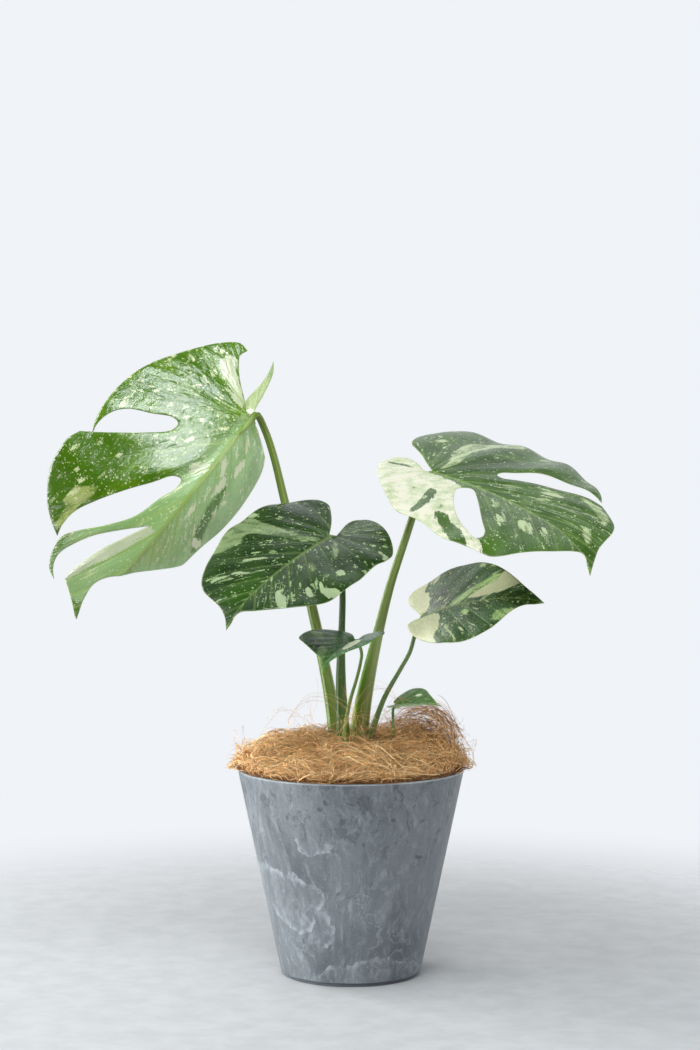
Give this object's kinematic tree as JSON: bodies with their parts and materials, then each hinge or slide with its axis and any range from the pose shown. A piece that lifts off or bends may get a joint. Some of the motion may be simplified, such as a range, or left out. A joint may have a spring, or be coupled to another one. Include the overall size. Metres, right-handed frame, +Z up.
{
  "type": "potted plant",
  "caption": "Young variegated monstera with cut and pierced leaves on tall stalks, in a tapered round marbled pot under a loose coconut-fibre mulch.",
  "frame": {"origin": "centre of the pot's underside, in the plane it rests on", "axes": "+Z up along the pot's axis, the plant's front faces -Y, +X to the right of that view"},
  "size_m": [0.5415, 0.3373, 0.6147],
  "materials": {
    "pot": "satin stone composite, marbled in greys with pale swirls",
    "soil": "crumbly dark potting soil",
    "stem": "green-brown plant stem with leaf scars",
    "coir": "loose golden-tan coconut fibre",
    "petiole": "smooth satin green leaf stalk",
    "blade_light": "satin leaf, mid green speckled and streaked with cream",
    "blade_dark": "satin leaf, dark green speckled and patched with cream"
  },
  "bodies": {
    "root": {"pot": "pot", "soil": "soil", "stem": "stem", "coir_mulch": "coir", "petiole_left": "petiole", "petiole_right": "petiole", "petiole_centre": "petiole", "petiole_lower_right": "petiole", "petiole_front": "petiole", "petiole_small": "petiole", "blade_left": "blade_light", "blade_right": "blade_dark", "blade_centre": "blade_dark", "blade_lower_right": "blade_dark", "blade_front": "blade_dark", "blade_small": "blade_dark"}
  },
  "joints": []
}
